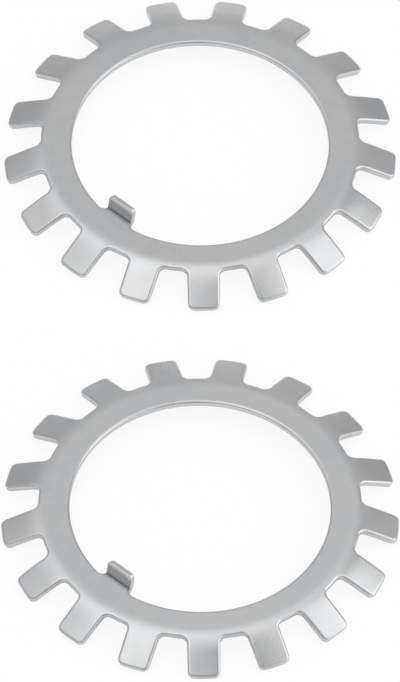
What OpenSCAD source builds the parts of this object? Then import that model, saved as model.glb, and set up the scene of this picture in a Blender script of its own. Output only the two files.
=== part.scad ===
// Pair of lock washers for a 45 mm shaft. Each is one pressed piece of steel sheet.
// A flat ring carries teeth round its outside, which are pressed down, and one key
// tab in its bore, which is folded up. Every sheared edge is rounded by tumbling.
// Both lie on their tooth tips, one behind the other, with the floor at height 0.

/* [Sheet] */
// Thickness of the steel sheet
sheet_t = 1.25; // [1:0.05:1.6]
// Radius on the upper edges of the sheet
upper_edge_r = 0.35; // [0.1:0.05:0.45]
// Radius on the lower edges of the sheet
lower_edge_r = 0.3; // [0.1:0.05:0.45]

/* [Ring] */
// Diameter of the bore
bore_d = 45; // [42:0.5:47]
// Diameter of the circle that the gaps between the teeth reach in to, on the flat blank
root_d = 55.8; // [54:0.2:58]

/* [Teeth] */
// Number of teeth
tooth_count = 17; // [11:2:19]
// Diameter over the pressed teeth
outside_d = 68.8; // [66:0.2:74]
// Width of a tooth
tooth_w = 5.7; // [4:0.1:6.5]
// Radius of the corners at the tip of a tooth
tip_corner_r = 1.1; // [0.6:0.1:1.8]
// Radius of the fillets at the root of a tooth
root_fillet_r = 1.2; // [0.6:0.1:1.4]
// Angle that the teeth are pressed down by
bend_angle = 25.6; // [15:0.2:35]
// Radius of that bend, at the middle of the sheet
bend_r = 7.4; // [4:0.2:8]
// How far inside the root circle the bend starts
bend_margin = 1.65; // [0.8:0.05:2]

/* [Key tab] */
// Width of the key tab
tab_w = 5.5; // [4:0.1:7]
// Distance from the top of the tab's inner face to the far side of the bore
key_reach = 42.5; // [41.5:0.1:43]
// Height of the top of the tab over the lower face of the ring
tab_top = 4; // [3.6:0.1:6]
// Angle that the tab is folded up by. Short of a right angle, it leans in over the bore.
tab_angle = 82; // [76:1:90]
// Inner radius of the fold of the tab
tab_fold_r = 0.2; // [0.1:0.1:0.6]
// Radius of the two upper corners of the tab
tab_corner_r = 0.9; // [0.5:0.1:1.2]
// Radius of the fillets where the tab leaves the bore
tab_fillet_r = 1.1; // [0.8:0.1:1.4]

/* [Pair] */
// Gap between the circles over the teeth of the two washers
pair_gap = 10.8; // [2:0.2:60]
// How far the front washer lies to the right of the rear one
pair_shift = 0.9; // [0:0.1:10]
// Direction of the key tab, from the right and counterclockwise as seen from above
tab_direction = 229.5; // [0:0.5:360]

/* [Hidden] */
steel = [0.74, 0.75, 0.76];

// Steps in which the arcs of the pressed rim and the tab are drawn
corner_steps = 3;
fillet_steps = 3;
fold_steps = 4;
edge_steps = 2;
// Facets of a full circle on the flat ring, and on the small arcs of its section
round_fn = 180;
edge_fn = 24;

bore_r = bore_d / 2;
root_r = root_d / 2;
pitch_angle = 360 / tooth_count;
tooth_half = tooth_w / 2;
tab_half = tab_w / 2;
pair_pitch = outside_d + pair_gap;

// The sheared edge of the sheet, from the upper face round to the lower one. Each
// step is how far it stands back from the outline, and its height in the sheet.
edge = concat(
    [for (i = [0:edge_steps])
        let (a = 90 * i / edge_steps)
        [upper_edge_r * (1 - sin(a)), sheet_t - upper_edge_r * (1 - cos(a))]],
    [for (i = [0:edge_steps])
        let (a = 90 * i / edge_steps)
        [lower_edge_r * (1 - cos(a)), lower_edge_r * (1 - sin(a))]]
);
last_edge = len(edge) - 1;

// The pressed bend: radii are on the flat blank, where it starts and where it ends
bend_start = root_r - bend_margin;
bend_arc = bend_r * bend_angle * PI / 180;
bend_end = bend_start + bend_arc;
// Radius of the tooth tips on the blank that gives outside_d once they are pressed
tip_reach = outside_d / 2 - upper_edge_r - bend_start
    - (bend_r + sheet_t / 2 - upper_edge_r) * sin(bend_angle);
tip_r = bend_end + upper_edge_r + tip_reach / cos(bend_angle);

// Where the flat ring and the pressed rim run into each other
flat_w = bend_start - bore_r;
rim_inner_r = bore_r + flat_w * 0.5;
ring_outer_r = bore_r + flat_w * 0.75;

// Centres of the arcs at the tip and at the root of a tooth, which points along +X
corner_y = tooth_half - tip_corner_r;
corner_x = sqrt(pow(tip_r - tip_corner_r, 2) - pow(corner_y, 2));
corner_a = atan2(corner_y, corner_x);
fillet_y = tooth_half + root_fillet_r;
fillet_x = sqrt(pow(root_r + root_fillet_r, 2) - pow(fillet_y, 2));
fillet_a = atan2(fillet_y, fillet_x);
// Where the side of a tooth leaves the bend
side_x = min(max(sqrt(pow(bend_end, 2) - pow(tooth_half, 2)), fillet_x + 0.1), corner_x - 0.1);

// The key tab on the flat blank. It points along +X, with the ring behind it at -X.
tab_inner_r = key_reach - bore_r;
fold_mid_r = tab_fold_r + sheet_t / 2;
fold_arc = fold_mid_r * tab_angle * PI / 180;
tab_rise = tab_top - sheet_t - tab_fold_r + (tab_fold_r + upper_edge_r) * cos(tab_angle);
tab_length = tab_rise / sin(tab_angle);
fold_start = -tab_inner_r - (tab_fold_r + sheet_t) * sin(tab_angle)
    - (tab_length - lower_edge_r) * cos(tab_angle);
fold_end = fold_start + fold_arc;
tab_tip = fold_end + tab_length;
// Radius of the edge that the tab leaves. That is the bore, or the end of a slot cut
// into the ring for it where the fold would otherwise lie in the ring.
tab_edge_r = max(bore_r, -fold_start);
// The fillets run this far into the ring, so that they cross its edge and don't just touch it
fillet_sink = 0.1;
tab_fillet_y = tab_half + tab_fillet_r;
tab_fillet_d = tab_edge_r - tab_fillet_r + fillet_sink;
tab_fillet_x = -sqrt(pow(tab_fillet_d, 2) - pow(tab_fillet_y, 2));
tab_fillet_a = atan2(tab_fillet_y, -tab_fillet_x);
tab_root = -tab_edge_r - flat_w * 0.5;

// A point on an arc, with the direction that points out of the sheet there
function arc_sample(centre, r, a, side) = [centre + r * [cos(a), sin(a)], side * [cos(a), sin(a)]];
function side_sample(x, y) = [[x, y], [0, 1]];

// Half of a tooth's outline, from the middle of its tip to the middle of the next gap
tooth_outline = concat(
    [arc_sample([0, 0], tip_r, 0, 1)],
    [for (i = [0:corner_steps])
        arc_sample([corner_x, corner_y], tip_corner_r, corner_a + (90 - corner_a) * i / corner_steps, 1)],
    [side_sample(side_x, tooth_half)],
    [for (i = [0:fillet_steps])
        arc_sample([fillet_x, fillet_y], root_fillet_r, -90 - (90 - fillet_a) * i / fillet_steps, -1)],
    [arc_sample([0, 0], root_r, pitch_angle / 2, 1)]
);

// Half of the tab's outline, from the middle of its tip to its root inside the ring
tab_outline = concat(
    [[[tab_tip, 0], [1, 0]]],
    [for (i = [0:corner_steps])
        arc_sample([tab_tip - tab_corner_r, tab_half - tab_corner_r], tab_corner_r, 90 * i / corner_steps, 1)],
    [for (i = [0:fold_steps])
        side_sample(fold_end + (tab_fillet_x - fold_end) * i / (fold_steps + 1), tab_half)],
    [for (i = [0:fold_steps])
        arc_sample([tab_fillet_x, tab_fillet_y], tab_fillet_r, -90 - (90 + tab_fillet_a) * i / fold_steps, -1)],
    [side_sample(tab_root, tab_fillet_y + tab_fillet_r * sin(tab_fillet_a))]
);

// The sample with number i of an outline, and its mirror image where i is negative
function mirrored(s) = [[s[0].x, -s[0].y], [s[1].x, -s[1].y]];
function sample(outline, i) = i < 0 ? mirrored(outline[-i]) : outline[i];

// Where a point of the blank lies on the pressed washer, at the height h in the sheet
function pressed(p, h) =
    let (
        r = norm(p),
        past = max(r - bend_start, 0),
        turned = bend_angle * min(past / bend_arc, 1),
        beyond = max(past - bend_arc, 0),
        up = h - sheet_t / 2,
        out = min(r, bend_start) + (bend_r + up) * sin(turned) + beyond * cos(bend_angle)
    )
    [
        out * p.x / r,
        out * p.y / r,
        sheet_t / 2 - bend_r + (bend_r + up) * cos(turned) - beyond * sin(bend_angle)
    ];

// Where a point of the blank lies on the folded tab, at the height h in the sheet
function folded(p, h) =
    let (
        past = max(p.x - fold_start, 0),
        turned = tab_angle * min(past / fold_arc, 1),
        beyond = max(past - fold_arc, 0),
        r = fold_mid_r + sheet_t / 2 - h
    )
    [
        min(p.x, fold_start) + r * sin(turned) + beyond * cos(tab_angle),
        p.y,
        sheet_t / 2 + fold_mid_r - r * cos(turned) + beyond * sin(tab_angle)
    ];

// The blank point of a sample, standing back as step e of the edge does
function set_back(s, e) = s[0] - edge[e][0] * s[1];
function turned_by(p, a) = [p.x * cos(a) - p.y * sin(a), p.x * sin(a) + p.y * cos(a), p.z];

// A four-sided face as two triangles, and the same seen from the other side
function quad(a, b, c, d) = [[a, c, b], [a, d, c]];
function quad_on(lower, a, b, c, d) = lower ? quad(d, c, b, a) : quad(a, b, c, d);

// The pressed rim is one closed skin. Its points come in three groups: the outline at
// each step of the edge, the middle line of each tooth on both faces, and rows in the
// root zone on both faces, with four points to a tooth.
half_n = len(tooth_outline) - 1;
loop_n = 2 * half_n * tooth_count;
middle_n = half_n - 2;
row_count = 3;
row_n = 4 * tooth_count;
middle_base = loop_n * len(edge);
row_base = middle_base + 2 * tooth_count * middle_n;

// The faces are numbered 0 for the upper one and 1 for the lower one
function face_edge(lower) = lower ? last_edge : 0;
function face_h(lower) = edge[face_edge(lower)][1];
function row_r(lower, row) =
    row == 0 ? (root_r - edge[face_edge(lower)][0] + bend_start) / 2
    : row == 1 ? bend_start
    : rim_inner_r;

rim_loops = [
    for (e = [0:last_edge])
        for (k = [0:tooth_count - 1])
            for (i = [1 - half_n:half_n])
                turned_by(pressed(set_back(sample(tooth_outline, i), e), edge[e][1]), k * pitch_angle)
];
rim_middles = [
    for (lower = [0:1])
        for (k = [0:tooth_count - 1])
            for (i = [2:half_n - 1])
                let (r = norm(set_back(tooth_outline[i], face_edge(lower))))
                turned_by(pressed([r, 0], face_h(lower)), k * pitch_angle)
];
rim_rows = [
    for (lower = [0:1])
        for (row = [0:row_count - 1])
            for (k = [0:tooth_count - 1])
                for (a = [-fillet_a, 0, fillet_a, pitch_angle / 2])
                    turned_by(pressed([row_r(lower, row), 0], face_h(lower)), k * pitch_angle + a)
];

// Numbers of the points: on the outline, on the middle line of a tooth, and in a row
function loop_id(e, k, i) = e * loop_n + (2 * half_n * k + half_n - 1 + i + loop_n) % loop_n;
function middle_id(lower, k, i) =
    i == 1 ? loop_id(face_edge(lower), k, 0)
    : middle_base + (lower * tooth_count + k) * middle_n + i - 2;
function row_id(lower, row, k, j) =
    row >= 0 ? row_base + (lower * row_count + row) * row_n + (4 * k + j + row_n) % row_n
    : j == 1 ? middle_id(lower, k, half_n - 1)
    : loop_id(face_edge(lower), k, [-half_n, 1 - half_n, 0, half_n - 1, half_n][j + 1]);

rim_edge_faces = [
    for (e = [0:last_edge - 1])
        for (k = [0:tooth_count - 1])
            for (i = [-half_n:half_n - 1])
                each quad(loop_id(e + 1, k, i), loop_id(e + 1, k, i + 1), loop_id(e, k, i + 1), loop_id(e, k, i))
];
rim_tooth_faces = [
    for (lower = [0:1])
        let (e = face_edge(lower))
        for (k = [0:tooth_count - 1])
            for (i = [1:half_n - 2])
                let (m = middle_id(lower, k, i), n = middle_id(lower, k, i + 1))
                each concat(
                    quad_on(lower, m, loop_id(e, k, i), loop_id(e, k, i + 1), n),
                    quad_on(lower, loop_id(e, k, -i), m, n, loop_id(e, k, -i - 1))
                )
];
rim_row_faces = [
    for (lower = [0:1])
        for (row = [-1:row_count - 2])
            for (k = [0:tooth_count - 1])
                for (j = [-1:2])
                    each quad_on(
                        lower,
                        row_id(lower, row, k, j), row_id(lower, row, k, j + 1),
                        row_id(lower, row + 1, k, j + 1), row_id(lower, row + 1, k, j)
                    )
];
rim_inner_faces = [
    for (k = [0:tooth_count - 1])
        for (j = [-1:2])
            let (row = row_count - 1)
            each quad(row_id(1, row, k, j + 1), row_id(1, row, k, j), row_id(0, row, k, j), row_id(0, row, k, j + 1))
];

// The folded tab is a closed skin too: the outline at each step of the edge, and the
// middle line on both faces, closed by a flat end inside the ring.
tab_n = len(tab_outline) - 1;
tab_loop_n = 2 * tab_n + 1;
tab_middle_base = tab_loop_n * len(edge);

tab_loops = [
    for (e = [0:last_edge])
        for (i = [-tab_n:tab_n])
            folded(set_back(sample(tab_outline, i), e), edge[e][1])
];
tab_middles = [
    for (lower = [0:1])
        for (i = [2:tab_n])
            folded([set_back(tab_outline[i], face_edge(lower)).x, 0], face_h(lower))
];

function tab_id(e, i) = e * tab_loop_n + tab_n + i;
function tab_middle_id(lower, i) =
    i == 1 ? tab_id(face_edge(lower), 0)
    : tab_middle_base + lower * (tab_n - 1) + i - 2;

tab_edge_faces = [
    for (e = [0:last_edge - 1])
        for (i = [-tab_n:tab_n - 1])
            each quad(tab_id(e + 1, i), tab_id(e + 1, i + 1), tab_id(e, i + 1), tab_id(e, i))
];
tab_side_faces = [
    for (lower = [0:1])
        let (e = face_edge(lower))
        for (i = [1:tab_n - 1])
            let (m = tab_middle_id(lower, i), n = tab_middle_id(lower, i + 1))
            each concat(
                quad_on(lower, m, tab_id(e, i), tab_id(e, i + 1), n),
                quad_on(lower, tab_id(e, -i), m, n, tab_id(e, -i - 1))
            )
];
tab_end_face = concat(
    [tab_middle_id(0, tab_n)],
    [for (e = [0:last_edge]) tab_id(e, -tab_n)],
    [tab_middle_id(1, tab_n)],
    [for (e = [last_edge:-1:0]) tab_id(e, tab_n)]
);

// How far the tooth tips reach below the ring, which is how high the ring lies
lie_height = -min([for (e = [0:last_edge]) pressed(set_back(tooth_outline[0], e), edge[e][1]).z]);

// A quarter of a disc, which rounds a corner of the sheet's section
module quarter_disc(r, up) {
    intersection() {
        translate([r, 0]) circle(r = r, $fn = edge_fn);
        translate([0, up ? 0 : -r]) square(r);
    }
}

// Section of the sheet with a rounded edge at X = 0
module edge_section(reach) {
    translate([0, lower_edge_r]) square([reach, sheet_t - upper_edge_r - lower_edge_r]);
    translate([upper_edge_r, sheet_t - upper_edge_r]) square([reach - upper_edge_r, upper_edge_r]);
    translate([lower_edge_r, 0]) square([reach - lower_edge_r, lower_edge_r]);
    translate([0, sheet_t - upper_edge_r]) quarter_disc(upper_edge_r, true);
    translate([0, lower_edge_r]) quarter_disc(lower_edge_r, false);
}

// Flat part of the ring, with the bore and its rounded lips
module flat_ring() {
    rotate_extrude($fn = round_fn) translate([bore_r, 0]) edge_section(ring_outer_r - bore_r);
}

// Outer part of the ring and the teeth, pressed down over one smooth bend
module pressed_rim() {
    polyhedron(
        points = concat(rim_loops, rim_middles, rim_rows),
        faces = concat(rim_edge_faces, rim_tooth_faces, rim_row_faces, rim_inner_faces),
        convexity = 10
    );
}

// Tab that keys the washer to the groove of a shaft, folded up out of the bore
module key_tab() {
    rotate(180)
        polyhedron(
            points = concat(tab_loops, tab_middles),
            faces = concat(tab_edge_faces, tab_side_faces, [tab_end_face]),
            convexity = 6
        );
}

// Slot that frees the tab from the ring where its fold lies further out than the bore
module tab_slot() {
    if (tab_edge_r > bore_r)
        translate([0, 0, -sheet_t])
            linear_extrude(3 * sheet_t)
            intersection() {
                circle(r = tab_edge_r, $fn = round_fn);
                translate([0, -tab_fillet_y]) square([tab_edge_r, 2 * tab_fillet_y]);
            }
}

// One whole washer, lying on its tooth tips with its key tab over a tooth
module washer() {
    color(steel)
        translate([0, 0, lie_height])
        rotate(tab_direction)
        union() {
            difference() {
                union() {
                    flat_ring();
                    pressed_rim();
                }
                tab_slot();
            }
            key_tab();
        }
}

module front_washer() {
    translate([pair_shift / 2, -pair_pitch / 2]) washer();
}

module rear_washer() {
    translate([-pair_shift / 2, pair_pitch / 2]) washer();
}

front_washer();
rear_washer();
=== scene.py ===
"""Looks of a pair of bearing lock washers: two pressed, tumbled steel rings on a white studio floor."""

from math import atan2, cos, pi, radians, sin, sqrt

import bpy
import numpy as np
from mathutils import Matrix, Vector


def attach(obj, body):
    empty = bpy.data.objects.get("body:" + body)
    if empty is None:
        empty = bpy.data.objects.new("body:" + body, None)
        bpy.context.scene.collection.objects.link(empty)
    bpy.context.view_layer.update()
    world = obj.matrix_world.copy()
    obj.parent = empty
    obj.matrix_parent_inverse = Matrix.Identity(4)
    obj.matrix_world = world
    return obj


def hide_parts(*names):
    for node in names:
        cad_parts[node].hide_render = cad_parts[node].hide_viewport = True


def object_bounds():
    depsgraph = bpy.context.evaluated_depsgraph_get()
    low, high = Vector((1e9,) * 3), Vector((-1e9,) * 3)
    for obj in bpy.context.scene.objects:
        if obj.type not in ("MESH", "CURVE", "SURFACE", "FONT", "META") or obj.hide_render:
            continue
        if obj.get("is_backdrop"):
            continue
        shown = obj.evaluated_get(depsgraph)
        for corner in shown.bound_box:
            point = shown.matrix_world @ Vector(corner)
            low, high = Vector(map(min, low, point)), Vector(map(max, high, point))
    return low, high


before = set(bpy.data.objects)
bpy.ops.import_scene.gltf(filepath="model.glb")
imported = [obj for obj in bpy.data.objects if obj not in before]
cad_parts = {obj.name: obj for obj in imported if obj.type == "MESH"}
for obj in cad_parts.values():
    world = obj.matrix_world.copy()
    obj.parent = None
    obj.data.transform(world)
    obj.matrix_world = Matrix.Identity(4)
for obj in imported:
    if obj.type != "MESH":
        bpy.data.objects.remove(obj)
cad_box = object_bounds()

# Lengths of the pressed sheet, in millimetres, as the solids have them, apart from two. Tumbling has
# worn the upper edge a little further back than it is deep, and the outside stays 0.03 mm further in,
# so that the finer skin lies inside the solids' box.
MM = 0.001
SHEET_T = 1.25
UPPER_EDGE_R = 0.35
UPPER_EDGE_BACK = 0.5
LOWER_EDGE_R = 0.3
BORE_R = 22.5
ROOT_R = 27.9
TOOTH_COUNT = 17
OUTSIDE_R = 34.37
TOOTH_HALF = 2.85
TIP_CORNER_R = 1.1
ROOT_FILLET_R = 1.2
TAB_HALF = 2.75
KEY_REACH = 42.5
TAB_TOP = 4.0
TAB_ANGLE = radians(82)
TAB_FOLD_R = 0.2
TAB_CORNER_R = 0.9
TAB_FILLET_R = 1.1
TAB_DIRECTION = radians(229.5)
PAIR_PITCH = 79.6
PAIR_SHIFT = 0.9
TOOTH_TURNS = [2 * pi * k / TOOTH_COUNT for k in range(TOOTH_COUNT)]
# The pressed bend as the light shows it: the tilt starts softly, grows fastest near the root circle,
# and comes to rest along the tooth. It stays within 0.05 mm of the arc that the solids have.
BEND_ANGLE = radians(26.25)
BEND_START = 25.9
BEND_SPREAD = 2.45

# Painted shade in the inner corner of the tab's fold, where little light reaches: how far it spreads, and how
# much it darkens the steel's colour
CREASE_REACH = 0.5
CREASE_PAINTED_SHADE = 0.65

# Steps in which the visible mesh draws each stretch of an outline
EDGE_STEPS = 6
WALL_STEPS = 3
ACROSS_STEPS = 6
CORNER_STEPS = 7
SIDE_STEPS = 10
FILLET_STEPS = 8
GAP_STEPS = 4
ROOT_ROWS = 9
BORE_STEPS = 300
TAB_SIDE_STEPS = 16
TAB_TIP_STEPS = 5
# Width of the strip along each rounded edge that stays level with the face beside it
LEVEL_STRIP = 0.12

# The camera of the photograph, in metres: where it looks from, how it is turned, and how large a metre
# is in the picture, which is 682 pixels high
IMAGE_H = 682
CAMERA_ELEVATION = radians(52.5)
CAMERA_ROLL = radians(0.822)
CAMERA_DISTANCE = 3.0
CAMERA_TARGET = (0.00002, -0.00309, 0.00298)
PIXELS_PER_METRE = 5758.0
SENSOR_MM = 36.0

# The steel: its two tints, how rough it is, and how many marks of each kind there are to a metre
COOL_TINT = (0.605, 0.615, 0.635, 1)
WARM_TINT = (0.635, 0.635, 0.63, 1)
ROUGHNESS = (0.26, 0.32)
GRAIN_ROUGHNESS = 0.03
WALL_ROUGHNESS = 0.08
CLOUDS = 70
WAVES = 170
DULL_PATCHES = 260
DINGS = 420
GRAIN = 9000
# How high the waves and the grain stand and how deep the dings are, in metres
WAVE_HEIGHT = 0.00003
DING_DEPTH = 0.000002
GRAIN_HEIGHT = 0.0000015
# Noise lies in this range nearly everywhere, and a ding reaches this far across its cell
NOISE_LOW, NOISE_HIGH = 0.3, 0.7
DING_REACH = 0.12

# The studio: an even level all round, and soft patches of light on it at four heights. Each patch is
# given by its azimuth in degrees and its level.
WORLD_LEVEL = 0.22
PATCH_TIGHTNESS = 13
PATCHES_BY_ELEVATION = {
    6: ((0, 0.6), (75, 0.1), (90, 0.25), (120, 0.2), (180, 0.7), (240, 0.7), (330, 0.7)),
    32: ((0, 0.5), (45, 0.25), (90, 0.25), (135, 0.1), (270, 0.2), (315, 0.65)),
    60: ((72, 0.2), (144, 0.55), (216, 0.3)),
    90: ((0, 0.2),),
}
# How far off the soft boxes stand, and half the floor's width, in metres
LAMP_DISTANCE = 1.2
FLOOR_HALF = 1.5
# The camera sees the floor mostly as plain white, with a share of the lit floor and its shadow left in.
# The steel sees the lit floor with the glow on top, which together come to about white.
WHITE = (1, 1, 1, 1)
FLOOR_COLOUR = (0.9, 0.9, 0.9, 1)
FLOOR_WHITE = 1.03
WHITE_SHARE = 0.86
FLOOR_GLOW = 0.24


def turned(point, angle):
    """Points of the blank, turned about the axis of the bore."""
    c, s = cos(angle), sin(angle)
    return np.stack([point[..., 0] * c - point[..., 1] * s, point[..., 0] * s + point[..., 1] * c], -1)


def bend_tilt(radius):
    """How far the sheet is pressed down at a radius of the flat blank."""
    return BEND_ANGLE * (1 - np.exp(-(np.maximum(radius - BEND_START, 0) / BEND_SPREAD) ** 2))


def summed(values, step):
    """Running sum of values at even steps, by the trapezium rule."""
    return np.concatenate([[0], np.cumsum((values[1:] + values[:-1]) / 2 * step)])


# The bend, followed along the middle of the sheet: how far out and how far down each radius lands
BEND_RADII, BEND_STEP = np.linspace(0, 40, 8001, retstep=True)
BEND_OUT = summed(np.cos(bend_tilt(BEND_RADII)), BEND_STEP)
BEND_DROP = summed(np.sin(bend_tilt(BEND_RADII)), BEND_STEP)


def pressed(blank, height):
    """Where points of the blank lie once the rim is pressed down over its bend."""
    radius = np.hypot(blank[:, 0], blank[:, 1])
    tilt = bend_tilt(radius)
    up = height - SHEET_T / 2
    out = np.interp(radius, BEND_RADII, BEND_OUT) + up * np.sin(tilt)
    z = SHEET_T / 2 - np.interp(radius, BEND_RADII, BEND_DROP) + up * np.cos(tilt)
    return np.column_stack([out * blank[:, 0] / radius, out * blank[:, 1] / radius, z])


# The fold of the key tab, which leans in over the bore: radii on the flat blank
FOLD_R = TAB_FOLD_R + SHEET_T / 2
FOLD_ARC = FOLD_R * TAB_ANGLE
TAB_RISE = TAB_TOP - SHEET_T - TAB_FOLD_R + (TAB_FOLD_R + UPPER_EDGE_R) * cos(TAB_ANGLE)
TAB_LENGTH = TAB_RISE / sin(TAB_ANGLE)
TAB_LEAN = (TAB_LENGTH - LOWER_EDGE_R) * cos(TAB_ANGLE)
FOLD_START = KEY_REACH - BORE_R + (TAB_FOLD_R + SHEET_T) * sin(TAB_ANGLE) + TAB_LEAN
TAB_TIP = FOLD_START - FOLD_ARC - TAB_LENGTH


def folded(blank, height):
    """Where points of the blank lie once the key tab, which points at the axis along -X, is folded up."""
    past = np.maximum(FOLD_START - blank[:, 0], 0)
    turn = np.minimum(past / FOLD_ARC, 1) * TAB_ANGLE
    beyond = np.maximum(past - FOLD_ARC, 0)
    radius = FOLD_R + SHEET_T / 2 - height
    x = np.maximum(blank[:, 0], FOLD_START) - radius * np.sin(turn) - beyond * cos(TAB_ANGLE)
    z = SHEET_T / 2 + FOLD_R - radius * np.cos(turn) + beyond * sin(TAB_ANGLE)
    return np.column_stack([x, blank[:, 1], z])


def arc(centre, radius, start, end, steps, side=1):
    """Samples of an arc: points, and the directions that point out of the sheet there."""
    a = np.linspace(start, end, steps + 1)
    out = np.column_stack([np.cos(a), np.sin(a)])
    return np.asarray(centre) + radius * out, side * out


def straight(start, end, steps, out):
    """Samples of a straight stretch, with its direction out of the sheet."""
    t = np.linspace(0, 1, steps + 1)[:, None]
    points = np.asarray(start) * (1 - t) + np.asarray(end) * t
    return points, np.tile(np.asarray(out, float), (steps + 1, 1))


def joined(*stretches):
    """One outline from stretches that meet end to end."""
    points = [stretches[0][0]] + [s[0][1:] for s in stretches[1:]]
    outs = [stretches[0][1]] + [s[1][1:] for s in stretches[1:]]
    return np.vstack(points), np.vstack(outs)


def both_sides(half):
    """A whole outline from the half that starts on its middle line."""
    points, outs = half
    flip = np.array([1, -1])
    return np.vstack([(points * flip)[:0:-1], points]), np.vstack([(outs * flip)[:0:-1], outs])


def tooth_half_outline():
    """Half of a tooth that points along +X, from the middle of its tip to the middle of the next gap."""
    middle_reach = OUTSIDE_R - UPPER_EDGE_R - (SHEET_T / 2 - UPPER_EDGE_R) * sin(BEND_ANGLE)
    tip_r = UPPER_EDGE_R + float(np.interp(middle_reach, BEND_OUT, BEND_RADII))
    corner_y = TOOTH_HALF - TIP_CORNER_R
    corner_x = sqrt((tip_r - TIP_CORNER_R) ** 2 - corner_y ** 2)
    corner_a = atan2(corner_y, corner_x)
    fillet_y = TOOTH_HALF + ROOT_FILLET_R
    fillet_x = sqrt((ROOT_R + ROOT_FILLET_R) ** 2 - fillet_y ** 2)
    fillet_a = atan2(fillet_y, fillet_x)
    return joined(
        arc((0, 0), tip_r, 0, corner_a, ACROSS_STEPS),
        arc((corner_x, corner_y), TIP_CORNER_R, corner_a, pi / 2, CORNER_STEPS),
        straight((corner_x, TOOTH_HALF), (fillet_x, TOOTH_HALF), SIDE_STEPS, (0, 1)),
        arc((fillet_x, fillet_y), ROOT_FILLET_R, -pi / 2, fillet_a - pi, FILLET_STEPS, -1),
        arc((0, 0), ROOT_R, fillet_a, pi / TOOTH_COUNT, GAP_STEPS),
    )


def tab_half_outline():
    """Half of the key tab, from the middle of its tip out to the bore. The tab points along -X."""
    corner = (TAB_TIP + TAB_CORNER_R, TAB_HALF - TAB_CORNER_R)
    fillet_y = TAB_HALF + TAB_FILLET_R
    fillet_x = sqrt((BORE_R - TAB_FILLET_R) ** 2 - fillet_y ** 2)
    fillet_a = atan2(fillet_y, fillet_x)
    return joined(
        straight((TAB_TIP, 0), (TAB_TIP, corner[1]), TAB_TIP_STEPS, (-1, 0)),
        arc(corner, TAB_CORNER_R, pi, pi / 2, CORNER_STEPS),
        straight((corner[0], TAB_HALF), (fillet_x, TAB_HALF), TAB_SIDE_STEPS, (0, 1)),
        arc((fillet_x, fillet_y), TAB_FILLET_R, -pi / 2, fillet_a, FILLET_STEPS, -1),
    )


def edge_profile():
    """The rounded edge of the sheet, from the upper face to the lower one: set back, and height."""
    a = np.linspace(0, pi / 2, EDGE_STEPS + 1)
    upper = np.column_stack([UPPER_EDGE_BACK * (1 - np.sin(a)), SHEET_T - UPPER_EDGE_R * (1 - np.cos(a))])
    lower = np.column_stack([LOWER_EDGE_R * (1 - np.cos(a)), LOWER_EDGE_R * (1 - np.sin(a))])
    wall_heights = np.linspace(upper[-1, 1], lower[0, 1], WALL_STEPS + 1)
    wall = np.column_stack([np.zeros_like(wall_heights), wall_heights])
    face_top = [[UPPER_EDGE_BACK + LEVEL_STRIP, SHEET_T]]
    face_bottom = [[LOWER_EDGE_R + LEVEL_STRIP, 0]]
    return np.vstack([face_top, upper, wall[1:-1], lower, face_bottom])


class Skin:
    """Vertices and faces of one closed skin, gathered loop by loop."""

    def __init__(self):
        self.points, self.sheared, self.faces, self.count = [], [], [], 0

    def add(self, points, sheared=0.0):
        """Adds points and gives their numbers. sheared is 1 on the wall that the shear left, 0 on a face."""
        ids = np.arange(self.count, self.count + len(points))
        self.points.append(points)
        self.sheared.append(np.full(len(points), sheared))
        self.count += len(points)
        return ids

    def strip(self, a, b, closed=False):
        """Four-sided faces between two rows of as many points."""
        if closed:
            a, b = np.append(a, a[0]), np.append(b, b[0])
        self.faces += [(a[i], a[i + 1], b[i + 1], b[i]) for i in range(len(a) - 1)]

    def zip_loops(self, a, b, angle_a, angle_b):
        """Triangles between two closed loops that go round the axis, each sorted by its angle."""
        i = j = 0
        while i < len(a) or j < len(b):
            next_a = angle_a[(i + 1) % len(a)] + 2 * pi * ((i + 1) // len(a))
            next_b = angle_b[(j + 1) % len(b)] + 2 * pi * ((j + 1) // len(b))
            if j >= len(b) or (i < len(a) and next_a <= next_b):
                self.faces.append((a[i % len(a)], a[(i + 1) % len(a)], b[j % len(b)]))
                i += 1
            else:
                self.faces.append((a[i % len(a)], b[(j + 1) % len(b)], b[j % len(b)]))
                j += 1


def edge_loops(skin, outline, shape, profile):
    """The rounded edge along an outline, as one row of points to each step of the profile."""
    points, outs = outline
    rows = []
    for back, height in profile:
        blank = points - back * outs
        rows.append(skin.add(shape(blank, height), max(1 - back / LOWER_EDGE_R, 0)))
    return rows


def across_rows(skin, blank, ids, tip_steps, row_count, shape, height, straight_count=0):
    """Rows from side to side of a tooth or the tab, from its tip to its root.

    A row keeps the radius of its ends, and the first ones run straight instead if there is a
    straight_count. From there on, the rows bow out little by little until the last one is an arc."""
    middle = len(blank) // 2
    rows = [ids[middle - tip_steps:middle + tip_steps + 1]]
    share = np.arange(1 - tip_steps, tip_steps) / tip_steps
    for i in range(1, row_count + 1):
        low, high = middle - tip_steps - i, middle + tip_steps + i
        bow = max(i - straight_count, 0) / (row_count - straight_count) if straight_count else 1
        inner = row_across(blank[high], share, bow * bow)
        rows.append(np.concatenate([[ids[low]], skin.add(shape(inner, height)), [ids[high]]]))
    return rows


def row_across(side, share, bow):
    """Points across at the shares of the way to the side, on a straight line or bowed to an arc."""
    angle = atan2(side[1], side[0]) * share
    arc_points = np.hypot(*side) * np.column_stack([np.cos(angle), np.sin(angle)])
    line_points = np.column_stack([np.full_like(share, side[0]), side[1] * share])
    return line_points + (arc_points - line_points) * bow


def bore_outline(tab):
    """The bore from one side of the tab round to the other, without the ends that the tab has."""
    points, _ = tab
    side = atan2(points[-1, 1], points[-1, 0])
    bore_points, bore_outs = arc((0, 0), BORE_R, side, 2 * pi - side, BORE_STEPS, -1)
    return bore_points[1:-1], bore_outs[1:-1]


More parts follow.
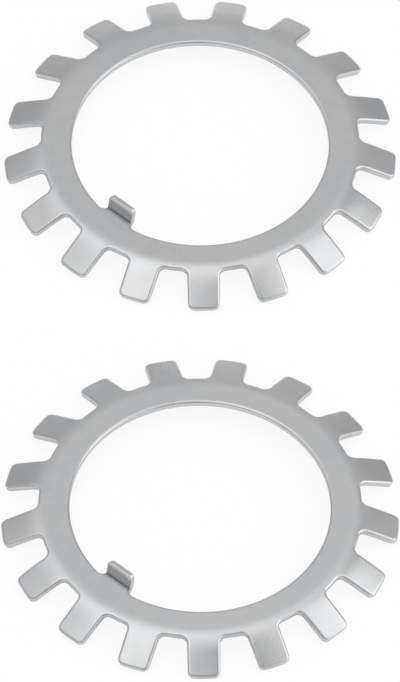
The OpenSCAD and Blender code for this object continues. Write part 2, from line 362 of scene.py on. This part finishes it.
def rim_edge(skin, tooth, profile):
    """The rounded edge all round the rim, from the outline of one tooth turned to each place."""
    points, outs = tooth
    rim = (
        np.vstack([turned(points[1:], a) for a in TOOTH_TURNS]),
        np.vstack([turned(outs[1:], a) for a in TOOTH_TURNS]),
    )
    rows = edge_loops(skin, rim, pressed, profile)
    for upper, lower in zip(rows, rows[1:]):
        skin.strip(lower, upper, closed=True)
    return rows


def bore_edge(skin, tab, bore, profile):
    """The rounded edge round the tab and the bore. Its rows come in two parts, for the tab and the bore."""
    tab_rows = edge_loops(skin, tab, folded, profile)
    bore_rows = edge_loops(skin, bore, pressed, profile)
    rows = [np.concatenate(parts) for parts in zip(tab_rows, bore_rows)]
    for upper, lower in zip(rows, rows[1:]):
        skin.strip(upper, lower, closed=True)
    return tab_rows, bore_rows


def toothed_face(skin, tooth, rim_ids, back, height):
    """One face of the teeth and the ring, in to where the bend starts: the loop there, and its angles."""
    points, outs = tooth
    middle = len(points) // 2
    root = ACROSS_STEPS + CORNER_STEPS + SIDE_STEPS + FILLET_STEPS
    share = np.arange(-ACROSS_STEPS, ACROSS_STEPS + 1) / ACROSS_STEPS
    blank = points - back * outs
    angles = np.arctan2(blank[:, 1], blank[:, 0])
    angles = np.concatenate([
        angles[1:middle - root], angles[middle + root] * share, angles[middle + root + 1:],
    ])
    radii = np.linspace(ROOT_R - back, BEND_START - LEVEL_STRIP, ROOT_ROWS + 1)[1:]
    loops = [[] for _ in range(ROOT_ROWS + 1)]
    for k, a in enumerate(TOOTH_TURNS):
        ids = np.take(rim_ids, range(2 * middle * k - 1, 2 * middle * (k + 1)), mode="wrap")
        rows = across_rows(
            skin, blank, ids, ACROSS_STEPS, root - ACROSS_STEPS,
            lambda p, h: pressed(turned(p, a), h), height,
        )
        for tip_side, root_side in zip(rows, rows[1:]):
            skin.strip(tip_side, root_side)
        loops[0].append(np.concatenate([ids[1:middle - root], rows[-1], ids[middle + root + 1:]]))
        for loop, radius in zip(loops[1:], radii):
            ring = radius * np.column_stack([np.cos(angles + a), np.sin(angles + a)])
            loop.append(skin.add(pressed(ring, height)))
    loops = [np.concatenate(loop) for loop in loops]
    for outer, inner in zip(loops, loops[1:]):
        skin.strip(outer, inner, closed=True)
    return loops[-1], np.concatenate([angles + a for a in TOOTH_TURNS])


def tab_face(skin, tab, bore, tab_ids, bore_ids, back, height):
    """One face of the tab: the loop over its root and round the bore, and the angles there."""
    points, outs = tab
    blank = points - back * outs
    rows = across_rows(
        skin, blank, tab_ids, TAB_TIP_STEPS, len(points) // 2 - TAB_TIP_STEPS, folded, height,
        CORNER_STEPS + TAB_SIDE_STEPS,
    )
    for tip_side, root_side in zip(rows, rows[1:]):
        skin.strip(root_side, tip_side)
    share = np.arange(-TAB_TIP_STEPS, TAB_TIP_STEPS + 1) / TAB_TIP_STEPS
    bore_blank = bore[0] - back * bore[1]
    angles = np.concatenate([
        atan2(blank[-1, 1], blank[-1, 0]) * share,
        np.arctan2(bore_blank[:, 1], bore_blank[:, 0]) % (2 * pi),
    ])
    return np.concatenate([rows[-1], bore_ids]), angles


def washer_skin():
    """The whole pressed washer as one closed skin, with its lower face at height 0 and its tab along +X."""
    skin = Skin()
    profile = edge_profile()
    tooth = both_sides(tooth_half_outline())
    tab = both_sides(tab_half_outline())
    bore = bore_outline(tab)
    rim_rows = rim_edge(skin, tooth, profile)
    tab_rows, bore_rows = bore_edge(skin, tab, bore, profile)
    upper_face, lower_face = 0, len(profile) - 1
    for face in (upper_face, lower_face):
        start = len(skin.faces)
        outer, outer_angles = toothed_face(skin, tooth, rim_rows[face], *profile[face])
        inner, inner_angles = tab_face(skin, tab, bore, tab_rows[face], bore_rows[face], *profile[face])
        skin.zip_loops(outer, inner, outer_angles, inner_angles)
        if face == lower_face:
            skin.faces[start:] = [f[::-1] for f in skin.faces[start:]]
    return np.vstack(skin.points), skin.faces, np.concatenate(skin.sheared)


def crease_shade_share(points):
    """How much painted shade each point gets in the inner corner of the fold: 1 in the corner, 0 past its
    reach.
    """
    away = np.hypot(points[:, 0] - FOLD_START + TAB_FOLD_R / 2, points[:, 2] - SHEET_T)
    return np.clip(1 - away / CREASE_REACH, 0, 1) * (np.abs(points[:, 1]) <= TAB_HALF)


def washer_piece(name, solid, centre):
    """A detailed washer that stands for its solid, lying on its tooth tips."""
    points, faces, sheared = washer_skin()
    lie = -points[:, 2].min()
    flat = turned(points[:, :2], TAB_DIRECTION)
    placed = np.column_stack([flat + np.asarray(centre), points[:, 2] + lie]) * MM
    mesh = bpy.data.meshes.new(name)
    mesh.from_pydata(placed.tolist(), [], [tuple(int(i) for i in f) for f in faces])
    mesh.validate()
    mesh.shade_smooth()
    # The second attribute says where the steel's colour gets painted shade, in the inner corner of the tab's
    # fold
    for key, values in (("sheared", sheared), ("crease_shade", crease_shade_share(points))):
        mesh.attributes.new(key, "FLOAT", "POINT").data.foreach_set("value", values)
    piece = bpy.data.objects.new(name, mesh)
    bpy.context.scene.collection.objects.link(piece)
    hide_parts(solid)
    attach(piece, "root")
    return piece


def node(tree, kind, **inputs):
    """A shader node with its inputs set: by value, or by the socket that feeds them.

    An input is named as its socket is, with underscores for spaces, and a number after it picks a
    later socket of that name."""
    made = tree.nodes.new(kind)
    for key, value in inputs.items():
        name, _, later = key.partition("_0")
        sockets = [i for i in made.inputs if i.name == name.replace("_", " ")]
        socket = sockets[int(later or 0)]
        if isinstance(value, bpy.types.NodeSocket):
            tree.links.new(value, socket)
        else:
            socket.default_value = value
    return made


def math(tree, operation, first, second):
    """The result of a sum, product or the like of a socket and a socket or number."""
    made = tree.nodes.new("ShaderNodeMath")
    made.operation = operation
    for socket, value in zip(made.inputs, (first, second)):
        if isinstance(value, bpy.types.NodeSocket):
            tree.links.new(value, socket)
        else:
            socket.default_value = value
    return made.outputs[0]


def scaled(tree, value, low, high, to_low, to_high):
    """A value mapped from one range to another."""
    made = node(
        tree, "ShaderNodeMapRange",
        Value=value, From_Min=low, From_Max=high, To_Min=to_low, To_Max=to_high,
    )
    return made.outputs["Result"]


def noise(tree, place, per_metre, detail=2.0, roughness=0.5):
    """Noise in the place of the steel, with so many lumps to a metre."""
    made = node(
        tree, "ShaderNodeTexNoise",
        Vector=place, Scale=per_metre, Detail=detail, Roughness=roughness,
    )
    return made.outputs["Fac"]


def bump(tree, height, distance, **below):
    """The normal of a relief as high as the distance, over the relief below it if there is one."""
    made = node(tree, "ShaderNodeBump", Height=height, Strength=1.0, Distance=distance, **below)
    return made.outputs["Normal"]


def attribute(tree, name):
    """A value that the mesh carries at each of its points."""
    made = node(tree, "ShaderNodeAttribute")
    made.attribute_name = name
    return made.outputs["Fac"]


def steel_material():
    """Tumbled steel: a fine satin with soft clouds, a slight waviness and small dings, with painted shade
    that darkens its colour in the inner corner of the fold.
    """
    material = bpy.data.materials.new("tumbled_steel")
    material.use_nodes = True
    tree = material.node_tree
    tree.nodes.clear()
    place = node(tree, "ShaderNodeTexCoord").outputs["Object"]
    wall = attribute(tree, "sheared")
    # Share of the steel's colour left after the painted shade in the inner corner of the fold
    left_after_shade = math(tree, "SUBTRACT", 1.0, math(tree, "MULTIPLY", attribute(tree, "crease_shade"), CREASE_PAINTED_SHADE))

    clouds = noise(tree, place, CLOUDS, 3.0)
    colour = node(tree, "ShaderNodeValToRGB", Fac=clouds)
    cool, warm = colour.color_ramp.elements
    cool.position, warm.position = 0.35, 0.65
    cool.color, warm.color = COOL_TINT, WARM_TINT
    crease_shaded_colour = node(tree, "ShaderNodeVectorMath", Vector=colour.outputs["Color"], Scale=left_after_shade)
    crease_shaded_colour.operation = "SCALE"

    grain = noise(tree, place, GRAIN, 2.0, 0.6)
    dull = noise(tree, place, DULL_PATCHES, 3.0)
    rough = math(
        tree, "ADD",
        scaled(tree, grain, NOISE_LOW, NOISE_HIGH, -GRAIN_ROUGHNESS, GRAIN_ROUGHNESS),
        scaled(tree, dull, NOISE_LOW, NOISE_HIGH, *ROUGHNESS),
    )
    rough = math(tree, "ADD", rough, math(tree, "MULTIPLY", wall, WALL_ROUGHNESS))

    cells = node(tree, "ShaderNodeTexVoronoi", Vector=place, Scale=DINGS, Randomness=1.0)
    ding = scaled(tree, cells.outputs["Distance"], 0.0, DING_REACH, -1.0, 0.0)
    relief = bump(tree, noise(tree, place, WAVES, 1.0), WAVE_HEIGHT)
    relief = bump(tree, ding, DING_DEPTH, Normal=relief)
    relief = bump(tree, grain, GRAIN_HEIGHT, Normal=relief)
    shader = node(
        tree, "ShaderNodeBsdfPrincipled",
        Base_Color=crease_shaded_colour.outputs["Vector"], Metallic=1.0, Roughness=rough, Normal=relief,
    )
    node(tree, "ShaderNodeOutputMaterial", Surface=shader.outputs["BSDF"])
    return material


def floor_material():
    """White floor that shows as white to the camera, and part of it in the steel, and keeps a soft shadow."""
    material = bpy.data.materials.new("white_floor")
    material.use_nodes = True
    tree = material.node_tree
    tree.nodes.clear()
    diffuse = node(tree, "ShaderNodeBsdfDiffuse", Color=FLOOR_COLOUR)
    white = node(tree, "ShaderNodeEmission", Color=WHITE, Strength=FLOOR_WHITE)
    rays = node(tree, "ShaderNodeLightPath")
    mix = node(
        tree, "ShaderNodeMixShader",
        Fac=math(tree, "MULTIPLY", rays.outputs["Is Camera Ray"], WHITE_SHARE),
        Shader=diffuse.outputs["BSDF"], Shader_001=white.outputs["Emission"],
    )
    to_steel = math(tree, "MULTIPLY", rays.outputs["Is Glossy Ray"], FLOOR_GLOW)
    glow = node(tree, "ShaderNodeEmission", Color=WHITE, Strength=to_steel)
    both = node(
        tree, "ShaderNodeAddShader", Shader=mix.outputs["Shader"], Shader_001=glow.outputs["Emission"],
    )
    node(tree, "ShaderNodeOutputMaterial", Surface=both.outputs["Shader"])
    return material


def add_floor():
    """The plain floor that both washers lie on."""
    mesh = bpy.data.meshes.new("floor")
    corners = [(x * FLOOR_HALF, y * FLOOR_HALF, 0) for x, y in ((-1, -1), (1, -1), (1, 1), (-1, 1))]
    mesh.from_pydata(corners, [], [(0, 1, 2, 3)])
    mesh.materials.append(floor_material())
    floor = bpy.data.objects.new("floor", mesh)
    bpy.context.scene.collection.objects.link(floor)
    floor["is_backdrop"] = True


def direction_to(azimuth, elevation):
    """The direction of a place in the studio, seen from the washers."""
    a, e = radians(azimuth), radians(elevation)
    return Vector((cos(a) * cos(e), sin(a) * cos(e), sin(e)))


def add_lamp(name, azimuth, elevation, half_width, half_height, radiance):
    """A square-edged soft box that faces the washers, seen from them in the given direction.

    Its half sizes are given for a box one metre away."""
    direction = direction_to(azimuth, elevation)
    data = bpy.data.lights.new(name, "AREA")
    data.shape = "RECTANGLE"
    data.size = 2 * half_width * LAMP_DISTANCE
    data.size_y = 2 * half_height * LAMP_DISTANCE
    data.energy = radiance * pi * data.size * data.size_y
    lamp = bpy.data.objects.new(name, data)
    lamp.location = direction * LAMP_DISTANCE
    lamp.rotation_euler = direction.to_track_quat("Z", "Y").to_euler()
    bpy.context.scene.collection.objects.link(lamp)


def set_world():
    """Surroundings that light the steel by soft patches, and that the camera sees as plain white."""
    world = bpy.data.worlds.new("studio")
    world.use_nodes = True
    tree = world.node_tree
    tree.nodes.clear()
    direction = node(tree, "ShaderNodeTexCoord").outputs["Generated"]
    level = WORLD_LEVEL
    patches = [(a, e, strength) for e, row in PATCHES_BY_ELEVATION.items() for a, strength in row]
    for azimuth, elevation, strength in patches:
        near = node(
            tree, "ShaderNodeVectorMath", Vector=direction, Vector_001=direction_to(azimuth, elevation),
        )
        near.operation = "DOT_PRODUCT"
        away = math(tree, "MULTIPLY", math(tree, "SUBTRACT", near.outputs["Value"], 1.0), PATCH_TIGHTNESS)
        patch = math(tree, "MULTIPLY", math(tree, "EXPONENT", away, 0.0), strength)
        level = math(tree, "ADD", patch, level)
    lit = node(tree, "ShaderNodeBackground", Color=WHITE, Strength=level)
    white = node(tree, "ShaderNodeBackground", Color=WHITE, Strength=1.0)
    rays = node(tree, "ShaderNodeLightPath")
    mix = node(
        tree, "ShaderNodeMixShader",
        Fac=rays.outputs["Is Camera Ray"], Shader=lit.outputs["Background"],
        Shader_001=white.outputs["Background"],
    )
    node(tree, "ShaderNodeOutputWorld", Surface=mix.outputs["Shader"])
    bpy.context.scene.world = world


def add_camera():
    """The photograph's view."""
    e = CAMERA_ELEVATION
    towards_camera = Vector((0, -cos(e), sin(e)))
    level_up = Vector((0, sin(e), cos(e)))
    right = cos(CAMERA_ROLL) * Vector((1, 0, 0)) + sin(CAMERA_ROLL) * level_up
    up = towards_camera.cross(right)
    data = bpy.data.cameras.new("camera")
    data.sensor_fit = "VERTICAL"
    data.sensor_height = SENSOR_MM
    data.lens = PIXELS_PER_METRE * CAMERA_DISTANCE * SENSOR_MM / IMAGE_H
    data.clip_end = 100
    camera = bpy.data.objects.new("camera", data)
    place = Vector(CAMERA_TARGET) + CAMERA_DISTANCE * towards_camera
    turn = Matrix((right, up, towards_camera)).transposed()
    camera.matrix_world = Matrix.LocRotScale(place, turn.to_quaternion(), None)
    bpy.context.scene.collection.objects.link(camera)
    bpy.context.scene.camera = camera


add_camera()
steel = steel_material()
front = washer_piece("front_lock_washer", "front_washer", (PAIR_SHIFT / 2, -PAIR_PITCH / 2))
rear = washer_piece("rear_lock_washer", "rear_washer", (-PAIR_SHIFT / 2, PAIR_PITCH / 2))
for piece in (front, rear):
    piece.data.materials.append(steel)
add_floor()
set_world()
add_lamp("right_box", 1, 44, 0.26, 0.52, 0.95)
add_lamp("left_box", 181, 59, 0.69, 0.42, 0.25)
add_lamp("overhead_box", 143, 86, 0.61, 0.28, 0.5)
bpy.context.scene.view_settings.view_transform = "Standard"

boxes = {"cad": cad_box, "visual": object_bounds()}
boxes = {key: [list(map(float, corner)) for corner in box] for key, box in boxes.items()}
